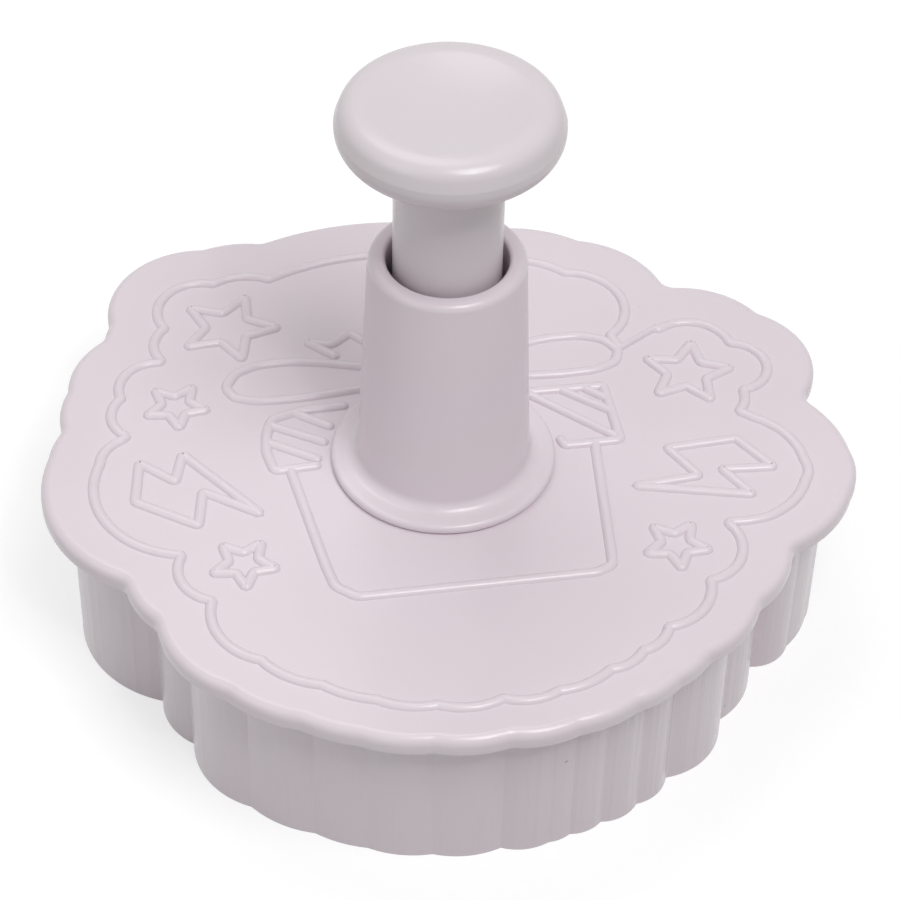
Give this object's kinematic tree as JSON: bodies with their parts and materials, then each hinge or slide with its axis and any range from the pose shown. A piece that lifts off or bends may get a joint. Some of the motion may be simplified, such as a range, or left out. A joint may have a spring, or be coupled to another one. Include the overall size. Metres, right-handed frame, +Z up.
{
  "type": "mooncake and cookie plunger press",
  "caption": "Cloud-shaped hand press that cuts a mooncake or cookie and stamps a picture into it with a spring-return plunger knob.",
  "frame": {"origin": "on the plunger's axis, at the level of the cutting edge that the press stands on", "axes": "+Z up along the plunger's axis, towards the knob; +X along the cloud's longer side, to the right of a person who reads the picture; -Y towards that person"},
  "size_m": [0.0762, 0.0706, 0.0601],
  "materials": {
    "shell_plastic": "semi-gloss moulded",
    "plunger_plastic": "semi-gloss moulded",
    "spring_steel": "drawn wire"
  },
  "bodies": {
    "shell": {"cutter_shell": "shell_plastic", "handle_sleeve": "shell_plastic", "return_spring": "spring_steel"},
    "plunger": {"push_knob": "plunger_plastic", "stamp_plate": "plunger_plastic", "plunger_stem": "plunger_plastic"}
  },
  "joints": [
    {"name": "plunger_slide", "type": "slide", "parent": "shell", "child": "plunger", "axis": [0, 0, -1], "range_m": [0, 0.0116], "stiffness_N_per_m": 400, "springref_m": -0.004, "deforming": ["return_spring"]}
  ]
}
